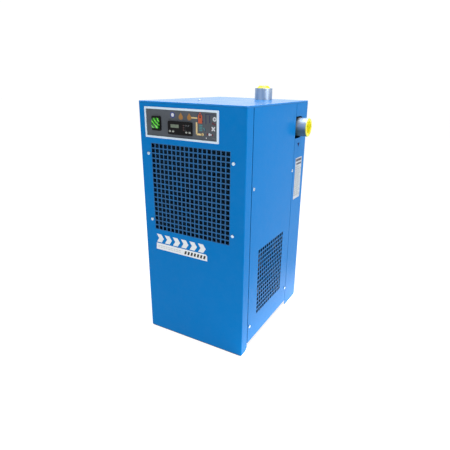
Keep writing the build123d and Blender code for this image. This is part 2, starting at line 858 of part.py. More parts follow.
def fan_blades():
    """Five pitched blades on one hub."""
    hub = rod_y(36, 0, (-12, 12), 0)
    blades = hub
    tip = fan_radius + 8
    outline = Polyline((30, -24), (tip, -52), (tip, 46), (30, 22), close=True)
    blade = extrude(make_face(outline), amount=1, both=True)
    for turn in range(5):
        pitched = Rot(0, 72 * turn, 0) * Rot(-62, 0, 0) * blade
        blades += pitched
    blades &= rod_y(fan_radius, 0, (-24, 22), 0)
    blades -= rod_y(fan_shaft_radius + 0.02, 0, (-10, 13), 0)
    return Pos(fan_x, fan_y, fan_z) * blades


def filter_drier():
    """Copper can with necked ends."""
    profile = Polyline(
        (0, drier_z[0]), (5, drier_z[0]), (5, drier_z[0] + 8), (22, drier_z[0] + 22),
        (22, drier_z[1] - 22), (5, drier_z[1] - 8), (5, drier_z[1]), (0, drier_z[1]), close=True,
    )
    can = revolve(Plane.XZ * make_face(profile), Axis.Z)
    return Pos(drier_x, drier_y, 0) * can


def capillary_tube():
    """Capillary from the drier to the exchanger, wound into a rounded square coil on the way."""
    left, right = drier_x - 56, drier_x
    near, far = 122, 178
    height = 334
    points = [(drier_x, drier_y, drier_z[1]), (drier_x, drier_y, height)]
    bends = [12]
    for _ in range(capillary_turns):
        for x, y in ((right, far), (left, far), (left, near), (right, near)):
            height += capillary_rise
            points.append((x, y, height))
            bends.append(20)
    points.append((drier_x, 185, height))
    points.append((core_x[0] - jacket_thick, 185, height))
    bends.append(12)
    return tube_run(points, capillary_radius, bends)


def hot_gas_valve():
    """Bypass valve: brass body with a diaphragm head and an adjusting cap."""
    head_z = (bypass_z + 16, bypass_z + 25)
    valve = rod_z(14, bypass_x, bypass_y, (bypass_z - 18, head_z[0]))
    valve += rod_z(22, bypass_x, bypass_y, head_z)
    valve += extrude(Pos(bypass_x, bypass_y, head_z[1]) * RegularPolygon(9, 6), amount=14)
    return valve + rod_y(6, bypass_x, (bypass_y - 24, bypass_y + 24), bypass_z)


def discharge_line():
    """Compressor to condenser, with the branch to the bypass valve."""
    x = fan_x - condenser_half
    y, z = discharge_stub
    points = [
        (stub_x, y, z),
        (bypass_x, y, z),
        (bypass_x, y, header_z[1]),
        (x - 7.5, -88, header_z[1]),
        (x - 7.5, header_y, header_z[1]),
        (x, header_y, header_z[1]),
    ]
    line = tube_run(points, line_radius, [20, 14, 14, 7])
    return line + rod_y(line_radius, bypass_x, (y, bypass_y - 24), bypass_z)


def liquid_line():
    """Condenser to drier, along the left side and under the drier."""
    x = fan_x - condenser_half
    low_z = drier_z[0] - 18
    points = [
        (x, header_y, header_z[0]),
        (x - 8, header_y, header_z[0]),
        (x - 8, drier_y, header_z[0]),
        (x - 8, drier_y, low_z),
        (drier_x, drier_y, low_z),
        (drier_x, drier_y, drier_z[0]),
    ]
    return tube_run(points, liquid_radius, [7, 20, 20, 16])


def suction_line():
    """Lagged return from the exchanger to the compressor."""
    jacket_x = core_x[0] - jacket_thick
    x = jacket_x - 25
    y, z = suction_stub
    points = [(jacket_x, 120, 540), (x, 120, 540), (x, 120, 345), (x, y, 345), (x, y, z), (stub_x, y, z)]
    return tube_run(points, suction_radius, [22, 30, 30, 16])


def hot_gas_line():
    """Bypass valve to the exchanger."""
    points = [
        (bypass_x, bypass_y + 24, bypass_z),
        (bypass_x, 150, bypass_z),
        (core_x[0] - jacket_thick, 150, bypass_z),
    ]
    return tube_run(points, line_radius, 25)


# --- Electrical ----------------------------------------------------------------------


def electrical_plate():
    """Mounting plate behind the panel, with a folded lower edge."""
    plate = block(electrical_x, (electrical_y, electrical_y + 1.5), (642, 736))
    return plate + block(electrical_x, (electrical_y, electrical_y + 16), (640.5, 642))


def terminal_block():
    """Terminal strip with one wire entry for each way."""
    strip = block(terminal_x, (electrical_y + 1.5, electrical_y + 20), (686, 714))
    for way in range(terminal_ways):
        centre = terminal_x[0] + 4 + way * terminal_pitch
        strip -= rod_y(2, centre, (electrical_y + 15, electrical_y + 21), loom_z + 7)
    return strip


def run_capacitor():
    """Capacitor can with two tabs, beside the compressor."""
    can = rod_z(20, capacitor_x, capacitor_y, (deck_top, 152))
    can = fillet(can.edges().filter_by(GeomType.CIRCLE).sort_by(Axis.Z)[-1], 3)
    for x in (capacitor_x - 6, capacitor_x + 6):
        can += block(span(x, 1.2), span(capacitor_y, 6), (152, 160))
    return can


def wiring_loom():
    """Mains loom from the gland to the terminals, and the lead down to the compressor."""
    mains = [
        (gland_x, inner_back - 9, gland_z),
        (gland_x, 190, gland_z),
        (gland_x, 190, loom_z),
        (gland_x, electrical_y + 20, loom_z),
    ]
    lead = [
        (118, compressor_y, 270),
        (118, compressor_y, loom_z),
        (60, compressor_y, loom_z),
        (60, electrical_y + 1.5, loom_z),
    ]
    return group([tube_run(mains, 6, [18, 40]), tube_run(lead, 4, [30, 22])])


def cable_gland():
    """Gland for the mains lead, with its lock nut inside the rear cover."""
    gland = rod_y(gland_thread, gland_x, (inner_back - 9, back), gland_z)
    nut = RegularPolygon(14, 6)
    gland += extrude(front_plane(gland_x, inner_back, gland_z) * nut, amount=5)
    gland += extrude(front_plane(gland_x, back + 6, gland_z) * nut, amount=6)
    dome = rod_y(12, gland_x, (back + 6, back + 21), gland_z)
    gland += fillet(dome.edges().filter_by(GeomType.CIRCLE).sort_by(Axis.Y)[-1], 5)
    return gland - rod_y(gland_bore, gland_x, (inner_back - 10, back + 22), gland_z)


# --- All nodes -----------------------------------------------------------------------

nodes["base_frame"] = base_frame()
nodes["front_cover"] = front_cover()
nodes["rear_cover"] = rear_cover()
nodes["right_side_panel"] = right_side_panel()
nodes["left_side_panel"] = mirror(nodes["right_side_panel"], Plane.YZ)
nodes["top_cover"] = top_cover()
nodes["cover_screws"] = cover_screws()
nodes["front_decal"] = front_decal()
nodes["side_labels"] = side_labels()
nodes["panel_bezel"] = panel_bezel()
nodes["panel_fascia"] = panel_fascia()
nodes["switch_frame"] = switch_frame()
nodes["switch_rocker"] = switch_rocker()
nodes["controller_housing"] = controller_housing()
nodes["controller_display"] = controller_display()
nodes["controller_leds"] = controller_leds()
for number, key_x in enumerate(button_x, start=1):
    nodes[f"controller_button_{number}"] = controller_button(key_x)
nodes["inlet_pipe"] = inlet_pipe()
nodes["outlet_pipe"] = outlet_pipe()
nodes["inlet_plug"] = inlet_plug()
nodes["outlet_plug"] = outlet_plug()
nodes["exchanger_core"] = exchanger_core()
nodes["exchanger_jacket"] = exchanger_jacket()
nodes["exchanger_stand"] = exchanger_stand()
nodes["drain_strainer"] = drain_strainer()
nodes["drain_lever"] = drain_lever()
nodes["drain_valve"] = drain_valve()
nodes["drain_coil"] = drain_coil()
nodes["drain_plunger"] = drain_plunger()
nodes["drain_spring"] = drain_spring()
nodes["drain_hose"] = drain_hose()
nodes["drain_outlet"] = drain_outlet()
nodes["compressor_shell"] = compressor_shell()
nodes["compressor_motor"] = compressor_motor()
nodes["compressor_cover"] = compressor_cover()
nodes["compressor_grommets"] = compressor_grommets()
nodes["compressor_bolts"] = compressor_bolts()
nodes["condenser_core"] = condenser_core()
nodes["condenser_plates"] = condenser_plates()
nodes["condenser_bends"] = condenser_bends()
nodes["fan_shroud"] = fan_shroud()
nodes["fan_guard"] = fan_guard()
nodes["fan_motor"] = fan_motor()
nodes["fan_shaft"] = fan_shaft()
nodes["fan_blades"] = fan_blades()
nodes["filter_drier"] = filter_drier()
nodes["capillary_tube"] = capillary_tube()
nodes["hot_gas_valve"] = hot_gas_valve()
nodes["discharge_line"] = discharge_line()
nodes["liquid_line"] = liquid_line()
nodes["suction_line"] = suction_line()
nodes["hot_gas_line"] = hot_gas_line()
nodes["electrical_plate"] = electrical_plate()
nodes["terminal_block"] = terminal_block()
nodes["run_capacitor"] = run_capacitor()
nodes["wiring_loom"] = wiring_loom()
nodes["cable_gland"] = cable_gland()

os.makedirs("parts", exist_ok=True)
for name, shape in nodes.items():
    export_step(shape, f"parts/{name}.step")
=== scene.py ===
import json
import math
import bmesh
import bpy
from mathutils import Matrix, Vector


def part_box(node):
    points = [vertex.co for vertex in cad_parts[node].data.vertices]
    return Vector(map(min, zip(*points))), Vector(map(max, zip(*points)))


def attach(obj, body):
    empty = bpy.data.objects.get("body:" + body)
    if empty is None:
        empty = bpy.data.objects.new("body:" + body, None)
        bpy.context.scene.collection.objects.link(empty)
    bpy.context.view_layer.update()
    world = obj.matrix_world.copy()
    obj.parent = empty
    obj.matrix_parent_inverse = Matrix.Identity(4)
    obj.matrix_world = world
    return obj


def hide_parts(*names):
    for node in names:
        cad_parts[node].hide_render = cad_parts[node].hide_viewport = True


# Looks of a refrigerated air dryer, built round its CAD frame. Metres, +X right, +Y back, +Z up.

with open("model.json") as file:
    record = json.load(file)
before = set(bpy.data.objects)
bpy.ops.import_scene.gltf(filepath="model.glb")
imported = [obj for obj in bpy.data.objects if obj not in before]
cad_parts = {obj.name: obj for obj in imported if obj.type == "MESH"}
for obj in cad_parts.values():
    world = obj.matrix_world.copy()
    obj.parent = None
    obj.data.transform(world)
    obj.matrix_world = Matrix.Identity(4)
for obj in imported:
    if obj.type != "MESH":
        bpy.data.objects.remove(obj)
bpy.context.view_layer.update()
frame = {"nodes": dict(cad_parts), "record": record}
nodes = frame["nodes"]
MM = 0.001

# Regions of the paint and the films, as a centre and half sizes in metres
FRONT_GRILLE = ((-0.0045, -0.2225, 0.494), (0.1332, 0.004, 0.1332))
SIDE_GRILLE = ((0.175, -0.032, 0.2115), (0.004, 0.0962, 0.111))
# Box inside the covers' outer skin, where the blue coat gets painted shade
CABINET_INSIDE_SHADE = ((0, 0, 0), (0.174, 0.2215, 0.7424))
FLOW_ARROW = ((0.175, 0.155, 0.602), (0.01, 0.02, 0.02))
INLET_AXIS_Z = 0.661
PLATE_HEIGHT = 0.144


# --- Colours and shader helpers ------------------------------------------------------


def srgb(red, green, blue):
    """8-bit screen colour to the linear values that shaders use."""
    def linear(value):
        value /= 255
        return value / 12.92 if value <= 0.04045 else ((value + 0.055) / 1.055) ** 2.4
    return (linear(red), linear(green), linear(blue), 1.0)


def scaled(colour, factor):
    return tuple(min(1.0, channel * factor) for channel in colour[:3]) + (1.0,)


class Shader:
    """A Principled material and the few nodes that the finishes below share."""

    def __init__(self, name, colour, roughness, metallic=0.0, **settings):
        self.material = bpy.data.materials.new(name)
        self.material.use_nodes = True
        self.tree = self.material.node_tree
        self.surface = self.tree.nodes["Principled BSDF"]
        self.surface.inputs["Base Color"].default_value = colour
        self.surface.inputs["Roughness"].default_value = roughness
        self.surface.inputs["Metallic"].default_value = metallic
        for socket, value in settings.items():
            self.surface.inputs[socket.replace("_", " ")].default_value = value
        self.place = self.node("ShaderNodeTexCoord").outputs["Object"]

    def node(self, kind, **values):
        made = self.tree.nodes.new(kind)
        for key, value in values.items():
            setattr(made, key, value)
        return made

    def link(self, output, socket):
        self.tree.links.new(output, socket)

    def stretched(self, scale):
        """Object coordinates scaled by (x, y, z), for streaks and brushing."""
        mapping = self.node("ShaderNodeMapping")
        mapping.inputs["Scale"].default_value = scale
        self.link(self.place, mapping.inputs["Vector"])
        return mapping.outputs["Vector"]

    def noise(self, scale, detail=3.0, vector=None, roughness=0.5):
        texture = self.node("ShaderNodeTexNoise")
        texture.inputs["Scale"].default_value = scale
        texture.inputs["Detail"].default_value = detail
        texture.inputs["Roughness"].default_value = roughness
        self.link(vector or self.place, texture.inputs["Vector"])
        return texture.outputs["Fac"]

    def cells(self, scale):
        texture = self.node("ShaderNodeTexVoronoi")
        texture.inputs["Scale"].default_value = scale
        self.link(self.place, texture.inputs["Vector"])
        return texture.outputs["Color"]

    def spread(self, fac, low, high):
        """Noise, which stays near 0.5, widened to run from low to high."""
        ramp = self.node("ShaderNodeMapRange")
        ramp.inputs["From Min"].default_value = 0.3
        ramp.inputs["From Max"].default_value = 0.7
        ramp.inputs["To Min"].default_value = low
        ramp.inputs["To Max"].default_value = high
        self.link(fac, ramp.inputs["Value"])
        return ramp.outputs["Result"]

    def mix(self, fac, first, second):
        mixer = self.node("ShaderNodeMix", data_type="RGBA")
        self.link(fac, mixer.inputs["Factor"])
        for socket, value in (("A", first), ("B", second)):
            target = [s for s in mixer.inputs if s.name == socket and s.type == "RGBA"][0]
            if isinstance(value, tuple):
                target.default_value = value
            else:
                self.link(value, target)
        return [s for s in mixer.outputs if s.type == "RGBA"][0]

    def math(self, operation, first, second):
        step = self.node("ShaderNodeMath", operation=operation)
        for socket, value in zip(step.inputs, (first, second)):
            if isinstance(value, (int, float)):
                socket.default_value = value
            else:
                self.link(value, socket)
        return step.outputs["Value"]

    def inside(self, region):
        """1 inside a region of the object's coordinates, 0 outside it."""
        centre, half = region
        vector = self.place
        for operation, value in (("SUBTRACT", centre), ("ABSOLUTE", None), ("DIVIDE", half)):
            step = self.node("ShaderNodeVectorMath", operation=operation)
            self.link(vector, step.inputs[0])
            if value:
                step.inputs[1].default_value = value
            vector = step.outputs["Vector"]
        split = self.node("ShaderNodeSeparateXYZ")
        self.link(vector, split.inputs["Vector"])
        widest = self.math("MAXIMUM", split.outputs["X"], split.outputs["Y"])
        return self.math("LESS_THAN", self.math("MAXIMUM", widest, split.outputs["Z"]), 1.0)

    def colour(self, output):
        self.link(output, self.surface.inputs["Base Color"])

    def roughness(self, output):
        self.link(output, self.surface.inputs["Roughness"])

    def bump(self, height, distance, strength=1.0):
        """Bump layers stack: a second call rides on the first."""
        bump = self.node("ShaderNodeBump")
        bump.inputs["Strength"].default_value = strength
        bump.inputs["Distance"].default_value = distance
        self.link(height, bump.inputs["Height"])
        normal = self.surface.inputs["Normal"]
        if normal.links:
            self.link(normal.links[0].from_socket, bump.inputs["Normal"])
        self.link(bump.outputs["Normal"], normal)


def powder_coat(name, colour, specular):
    """Smooth satin powder coat: orange peel, a slow drift of tone and a little dust."""
    shader = Shader(name, colour, 0.22, Specular_IOR_Level=specular)
    drift = shader.spread(shader.noise(2.2, 2.0), 0.0, 1.0)
    tone = shader.mix(drift, scaled(colour, 0.97), scaled(colour, 1.04))
    dust = shader.spread(shader.noise(38.0, 8.0, roughness=0.7), 0.0, 0.012)
    shader.colour(shader.mix(dust, tone, srgb(205, 215, 222)))
    shader.roughness(shader.spread(shader.noise(14.0, 5.0), 0.19, 0.25))
    shader.bump(shader.noise(620.0, 2.0), 0.00006, 0.3)
    return shader


def cabinet_paint(name, specular):
    """Blue coat, greyed in noisy patches over the grilles, with painted shade on the covers' inner faces:
    a dark navy that makes the seams and openings read dark.
    """
    shader = powder_coat(name, BLUE, specular)
    coat = shader.surface.inputs["Base Color"].links[0].from_socket
    # Greys the coat in noisy patches over the grilles, more over the front grille than the side one.
    grille_greying = shader.spread(shader.noise(70.0, 6.0, roughness=0.6), 0.5, 1.0)
    for grille, amount in ((FRONT_GRILLE, 0.8), (SIDE_GRILLE, 0.35)):
        field = shader.math("MULTIPLY", shader.inside(grille), amount)
        coat = shader.mix(shader.math("MULTIPLY", field, grille_greying), coat, srgb(66, 88, 112))
    # Painted shade: every face inside the covers' outer skin turns dark navy.
    shader.colour(shader.mix(shader.inside(CABINET_INSIDE_SHADE), coat, srgb(9, 28, 66)))
    return shader.material


def metal(name, colour, roughness, stretch=(1, 1, 1), grain=900.0, depth=0.00003, metallic=1.0):
    """Bare or plated metal with directional grain and stains."""
    shader = Shader(name, colour, roughness, metallic=metallic)
    grain_fac = shader.noise(grain, 4.0, shader.stretched(stretch))
    stain = shader.spread(shader.noise(26.0, 6.0, roughness=0.65), 0.0, 1.0)
    tone = shader.mix(stain, scaled(colour, 0.82), scaled(colour, 1.08))
    shader.colour(tone)
    shader.roughness(shader.spread(grain_fac, roughness * 0.75, roughness * 1.35))
    shader.bump(grain_fac, depth, 0.5)
    return shader.material


def galvanised(name, colour):
    """Zinc-coated sheet with its crystal spangle."""
    shader = Shader(name, colour, 0.42, metallic=0.9)
    grey = shader.node("ShaderNodeRGBToBW")
    shader.link(shader.cells(95.0), grey.inputs["Color"])
    tone = shader.mix(grey.outputs["Val"], scaled(colour, 0.72), scaled(colour, 1.15))
    shader.colour(tone)
    shader.roughness(shader.spread(grey.outputs["Val"], 0.34, 0.52))
    shader.bump(shader.noise(240.0, 3.0), 0.00004, 0.4)
    return shader.material


def plastic(name, colour, roughness, grain=1400.0, depth=0.00004, **settings):
    """Moulded plastic with a fine texture and slight mottling."""
    shader = Shader(name, colour, roughness, **settings)
    mottle = shader.spread(shader.noise(60.0, 5.0, roughness=0.6), 0.0, 1.0)
    shader.colour(shader.mix(mottle, scaled(colour, 0.92), scaled(colour, 1.06)))
    shader.roughness(shader.spread(shader.noise(180.0, 4.0), roughness * 0.88, roughness * 1.15))
    shader.bump(shader.noise(grain, 3.0), depth, 0.4)
    return shader.material


def foam(name, colour):
    """Closed-cell insulation: a pitted matt skin."""
    shader = Shader(name, colour, 0.92, Sheen_Weight=0.2)
    pits = shader.node("ShaderNodeTexVoronoi")
    pits.inputs["Scale"].default_value = 520.0
    shader.link(shader.place, pits.inputs["Vector"])
    mottle = shader.spread(shader.noise(30.0, 5.0), 0.0, 1.0)
    shader.colour(shader.mix(mottle, scaled(colour, 0.8), scaled(colour, 1.5)))
    shader.bump(pits.outputs["Distance"], 0.0004, 0.6)
    return shader.material


def lit_plastic(name, colour, glow, strength):
    """Translucent lit plastic: brighter in patches, as over a lamp."""
    shader = Shader(name, colour, 0.12, Coat_Weight=0.8, Coat_Roughness=0.04)
    patch = shader.spread(shader.noise(120.0, 2.0), 0.0, 1.0)
    shader.colour(shader.mix(patch, scaled(colour, 0.75), scaled(colour, 1.25)))
    shader.surface.inputs["Emission Color"].default_value = glow
    shader.surface.inputs["Emission Strength"].default_value = strength
    shader.bump(shader.noise(400.0, 2.0), 0.00003, 0.3)
    return shader.material


def lit_rocker(name):
    """Dark green translucent rocker with a faint lamp glow, and bright slanted streaks that are painted
    highlights in its colour and its glow.
    """
    unlit = srgb(18, 96, 22)
    shader = Shader(name, unlit, 0.15, Coat_Weight=0.5, Coat_Roughness=0.05)
    waves = shader.node("ShaderNodeTexWave", bands_direction="DIAGONAL")
    waves.inputs["Scale"].default_value = 42.0
    waves.inputs["Distortion"].default_value = 5.0
    waves.inputs["Detail"].default_value = 2.0
    waves.inputs["Detail Scale"].default_value = 1.6
    shader.link(shader.place, waves.inputs["Vector"])
    # Painted highlight: slanted lime streaks, set in the base colour and in a stronger glow.
    streak = shader.node("ShaderNodeMapRange", interpolation_type="SMOOTHSTEP")
    streak.inputs["From Min"].default_value = 0.66
    streak.inputs["From Max"].default_value = 0.95
    shader.link(waves.outputs["Fac"], streak.inputs["Value"])
    shader.colour(shader.mix(streak.outputs["Result"], unlit, srgb(96, 210, 56)))
    glow = shader.mix(streak.outputs["Result"], srgb(4, 40, 6), srgb(96, 220, 50))
    shader.link(glow, shader.surface.inputs["Emission Color"])
    shader.surface.inputs["Emission Strength"].default_value = 0.3
    shader.bump(waves.outputs["Fac"], 0.0001, 0.4)
    return shader.material


def printed(name, colour):
    """Printed film: near-flat ink with a faint screen mottle."""
    shader = Shader(name, colour, 0.45)
    mottle = shader.spread(shader.noise(220.0, 4.0), 0.0, 1.0)
    shader.colour(shader.mix(mottle, scaled(colour, 0.93), scaled(colour, 1.04)))
    shader.bump(shader.noise(1500.0, 2.0), 0.00002, 0.3)
    return shader.material


def stub_zinc():
    """Zinc-plated inlet stub, darkened along its underside with painted shade."""
    shader = Shader("inlet_zinc", srgb(190, 204, 218), 0.42, metallic=0.6)
    grain = shader.noise(900.0, 4.0, shader.stretched((6, 1, 1)))
    stain = shader.spread(shader.noise(26.0, 6.0, roughness=0.65), 0.0, 1.0)
    tone = shader.mix(stain, srgb(170, 186, 202), srgb(198, 212, 226))
    split = shader.node("ShaderNodeSeparateXYZ")
    shader.link(shader.place, split.inputs["Vector"])
    # Painted shade: dark blue-grey from just above the stub's axis downward.
    below = shader.node("ShaderNodeMapRange", interpolation_type="SMOOTHSTEP")
    below.inputs["From Min"].default_value = INLET_AXIS_Z + 0.009
    below.inputs["From Max"].default_value = INLET_AXIS_Z - 0.011
    shader.link(split.outputs["Z"], below.inputs["Value"])
    shader.colour(shader.mix(below.outputs["Result"], tone, srgb(84, 116, 130)))
    shader.roughness(shader.spread(grain, 0.32, 0.56))
    shader.bump(grain, 0.00003, 0.5)
    return shader.material


def side_film():
    """Grey-white data plate with speckled small print, and the dark flow arrow above it."""
    shader = Shader("side_film", srgb(214, 222, 228), 0.45, Specular_IOR_Level=0.02)
    speckle = shader.spread(shader.noise(420.0, 3.0, shader.stretched((1, 0.5, 1.6))), 0.0, 0.7)
    paper = shader.mix(speckle, srgb(222, 230, 236), srgb(112, 122, 134))
    shader.colour(shader.mix(shader.inside(FLOW_ARROW), paper, srgb(10, 28, 84)))
    shader.bump(shader.noise(1500.0, 2.0), 0.00002, 0.3)
    return shader.material


BLUE = srgb(0, 121, 198)
finishes = {
    "blue_paint": cabinet_paint("blue_powder_coat", 0.035),
    "black_paint": powder_coat("black_powder_coat", srgb(26, 27, 29), 0.5).material,
    "galvanised": galvanised("galvanised_sheet", srgb(168, 172, 176)),
    "zinc": metal("bright_zinc", srgb(190, 204, 218), 0.42, (1, 1, 6), metallic=0.6),
    "aluminium": metal("mill_aluminium", srgb(196, 198, 202), 0.35, (1, 1, 12)),
    "fins": metal("coated_fins", srgb(44, 82, 112), 0.5, (1, 1, 14), 500.0, metallic=0.5),
    "copper": metal("copper_tube", srgb(196, 118, 84), 0.24, (1, 1, 5)),
    "brass": metal("machined_brass", srgb(202, 170, 96), 0.26, (6, 1, 1)),
    "foam": foam("closed_cell_foam", srgb(28, 28, 30)),
    "rubber": foam("moulded_rubber", srgb(24, 24, 25)),
    "grey_plastic": plastic("fascia_grey", srgb(88, 93, 100), 0.5, Specular_IOR_Level=0.1),
    "pale_plastic": plastic("bezel_pale", srgb(214, 232, 248), 0.35),
    "black_plastic": plastic("black_moulding", srgb(11, 11, 13), 0.34, Specular_IOR_Level=0.15),
    "green_plastic": lit_rocker("rocker_green"),
    "yellow_plastic": plastic(
        "plug_yellow", srgb(242, 236, 48), 0.3, Subsurface_Weight=0.15, Subsurface_Scale=0.002
    ),
    "key_plastic": plastic("key_grey", srgb(158, 162, 156), 0.5),
    "display": lit_plastic("display_window", srgb(88, 104, 84), srgb(90, 120, 90), 0.05),
    "led": lit_plastic("led_lens", srgb(74, 24, 24), srgb(90, 30, 26), 0.05),
    "printed_white": printed("printed_white", srgb(232, 238, 242)),
    "hose": plastic("nylon_hose", srgb(24, 60, 150), 0.35),
}
slot_of = {entry["node"]: entry["material_slot"] for entry in frame["record"]["subparts"]}
own_finish = {
    "top_cover": cabinet_paint("blue_lid_coat", 0.22),
    "side_labels": side_film(),
    "cover_screws": metal("screw_zinc", srgb(196, 216, 232), 0.24, (1, 1, 1), 500.0),
    "inlet_pipe": stub_zinc(),
}
for node_name, node in nodes.items():
    node.data.materials.clear()
    node.data.materials.append(own_finish.get(node_name) or finishes[slot_of[node_name]])


# --- Mesh helpers --------------------------------------------------------------------


def piece(name, bm, body, material):
    """Turns a bmesh into a flat-shaded piece that rides on a CAD body."""
    bmesh.ops.recalc_face_normals(bm, faces=bm.faces)
    mesh = bpy.data.meshes.new(name)
    bm.to_mesh(mesh)
    bm.free()
    made = bpy.data.objects.new(name, mesh)
    bpy.context.scene.collection.objects.link(made)
    mesh.materials.append(material)
    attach(made, body)
    return made


def add_prism(bm, outline, origin, right, up, depth):
    """Closed prism: an outline in the plane of right and up, extruded by the vector depth."""
    near = [bm.verts.new(origin + right * u + up * v) for u, v in outline]
    far = [bm.verts.new(vert.co + depth) for vert in near]
    bm.faces.new(near)
    bm.faces.new(list(reversed(far)))
    for i in range(len(near)):
        j = (i + 1) % len(near)
        bm.faces.new((near[j], near[i], far[i], far[j]))


# --- Condenser fins ------------------------------------------------------------------


def condenser_fins():
    """A pack of corrugated fins, in place of the CAD block."""
    low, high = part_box("condenser_core")
    foot = Vector((0, 0, low.z))
    rise = Vector((0, 0, high.z - low.z))
    bm = bmesh.new()
    pitch = 2.6 * MM
    thickness = 0.25 * MM
    wave = 0.6 * MM
    folds = 8
    count = int((high.x - low.x) / pitch)
    first = (low.x + high.x - (count - 1) * pitch) / 2
    for number in range(count):
        x = first + number * pitch
        outline = []
        for step in range(folds + 1):
            y = low.y + (high.y - low.y) * step / folds
            outline.append((x + (wave if step % 2 else -wave) / 2 - thickness / 2, y))
        outline += [(u + thickness, y) for u, y in reversed(outline)]
        add_prism(bm, outline, foot, Vector((1, 0, 0)), Vector((0, 1, 0)), rise)
    fins = piece("condenser_fins", bm, "cabinet", finishes["fins"])
    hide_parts("condenser_core")


condenser_fins()


# --- Printed marks -------------------------------------------------------------------

FACES = {
    "front": (Vector((1, 0, 0)), Vector((0, 0, 1)), Vector((0, -1, 0))),
    "right": (Vector((0, 1, 0)), Vector((0, 0, 1)), Vector((1, 0, 0))),
}


def disc(u, v, radius, sides=28):
    return [
        (u + radius * math.cos(2 * math.pi * k / sides), v + radius * math.sin(2 * math.pi * k / sides))
        for k in range(sides)
    ]


def bar(start, end, thickness):
    """Straight stroke between two points."""
    (u0, v0), (u1, v1) = start, end
    length = math.hypot(u1 - u0, v1 - v0)
    across = (-(v1 - v0) / length * thickness / 2, (u1 - u0) / length * thickness / 2)
    return [
        (u0 + across[0], v0 + across[1]),
        (u0 - across[0], v0 - across[1]),
        (u1 - across[0], v1 - across[1]),
        (u1 + across[0], v1 + across[1]),
    ]


def path_bars(points, thickness):
    return [bar(a, b, thickness) for a, b in zip(points, points[1:])]


def rectangle(u, v, width, height, slant=0.0):
    """Box outline, its top pushed sideways by slant."""
    half_u, half_v = width / 2, height / 2
    return [
        (u - half_u - slant / 2, v - half_v),
        (u + half_u - slant / 2, v - half_v),
        (u + half_u + slant / 2, v + half_v),
        (u - half_u + slant / 2, v + half_v),
    ]


def print_marks(name, face, origin, outlines, ink, lift):
    """Raised ink. Outlines and lift, the ink's thickness, are in millimetres from the origin."""
    right, up, out = FACES[face]
    bm = bmesh.new()
    for outline in outlines:
        flat = [(u * MM, v * MM) for u, v in outline]
        add_prism(bm, flat, origin, right, up, out * lift * MM)
    return piece(name, bm, "cabinet", ink)


INKS = {
    "blue": printed("ink_blue", srgb(28, 52, 140)),
    "amber": printed("ink_amber", srgb(160, 112, 48)),
    "cream": printed("ink_cream", srgb(226, 200, 140)),
    "orange": printed("ink_orange", srgb(186, 78, 40)),
    "teal": printed("ink_teal", srgb(60, 132, 140)),
    "navy": printed("ink_navy", srgb(38, 44, 78)),
    "white": printed("ink_white", srgb(214, 218, 226)),
    "maroon": printed("ink_maroon", srgb(92, 36, 48)),
    "grey": printed("ink_grey", srgb(120, 126, 132)),
    "black": printed("ink_black", srgb(20, 20, 22)),
    "pale": printed("ink_pale", srgb(196, 200, 206)),
}


def fan_glyph(u, v, size):
    """Four petals round a centre."""
    petals = []
    for quarter in range(4):
        angle = math.radians(45 + 90 * quarter)
        centre = (u + size * 0.55 * math.cos(angle), v + size * 0.55 * math.sin(angle))
        petal = []
        for k in range(14):
            turn = 2 * math.pi * k / 14
            long, short = size * 0.5 * math.cos(turn), size * 0.26 * math.sin(turn)
            petal.append((
                centre[0] + long * math.cos(angle) - short * math.sin(angle),
                centre[1] + long * math.sin(angle) + short * math.cos(angle),
            ))
        petals.append(petal)
    return petals


def drop_glyph(u, v, radius):
    """Round drop with a pointed top."""
    arc = [math.radians(-232 + 284 * k / 20) for k in range(21)]
    drop = [(u + radius * math.cos(angle), v + radius * math.sin(angle)) for angle in arc]
    return drop + [(u, v + radius * 1.75)]


def fascia_print():
    """Flow diagram and marks printed on the grey fascia."""
    low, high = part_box("panel_fascia")
    origin = Vector(((low.x + high.x) / 2, low.y, (low.z + high.z) / 2))
    layers = {
        "blue": [disc(-25, 24, 8)],
        "white": [
            disc(-25, 24, 5), disc(110.5, 20, 5.6), disc(94.5, -20, 3.4), disc(84.5, -30, 1.6),
            rectangle(98.5, -20.5, 5.5, 3.8),
        ] + fan_glyph(106.5, -5, 7.2),
        "amber": [drop_glyph(2.5, 19.5, 7), drop_glyph(30.5, 19.5, 7)],
        "cream": path_bars([(37.5, 20), (58, 20)], 3.4)
        + path_bars([(54, 9), (54, -22), (72.5, -22)], 4.8)
        + [disc(72.5, -21.5, 3.8)],
        "orange": [[(59, 7), (72, 7), (72, 26), (65.5, 36), (59, 26)]],
        "teal": [rectangle(67.5, y, 10, 2.6) for y in (2, -2.5, -7, -11.5)]
        + path_bars([(75.5, -4), (81.5, -12)], 2.4),
        "navy": path_bars([(81.5, 31), (110, 31)], 2.2) + path_bars([(83.5, 31), (83.5, 6)], 2.8)
        + path_bars([(95.5, 29), (95.5, 10)], 3.6) + path_bars([(75.5, 12), (71.5, 12)], 2.4)
        + path_bars([(81.5, -6), (81.5, -14)], 2)
        + path_bars([(57, 5), (57, 28), (65.5, 38), (74, 28), (74, 5)], 1.6),
        "maroon": [disc(65.5, 29, 2.8), disc(105.5, 9, 3), disc(111.5, 7, 2.6)]
        + [disc(88.5, -20, 3), disc(103.5, -21, 2.8)]
        + path_bars([(99.5, 4), (99.5, -10)], 1.6),
        "black": [disc(65.5, 23, 2.6)],
        "grey": [disc(110.5, 20, 2.8)] + path_bars([(103.5, -30), (113.5, -30)], 1.2),
    }
    for level, (ink, outlines) in enumerate(layers.items()):
        lift = 0.05 + 0.01 * level
        print_marks(f"fascia_print_{ink}", "front", origin, outlines, INKS[ink], lift)


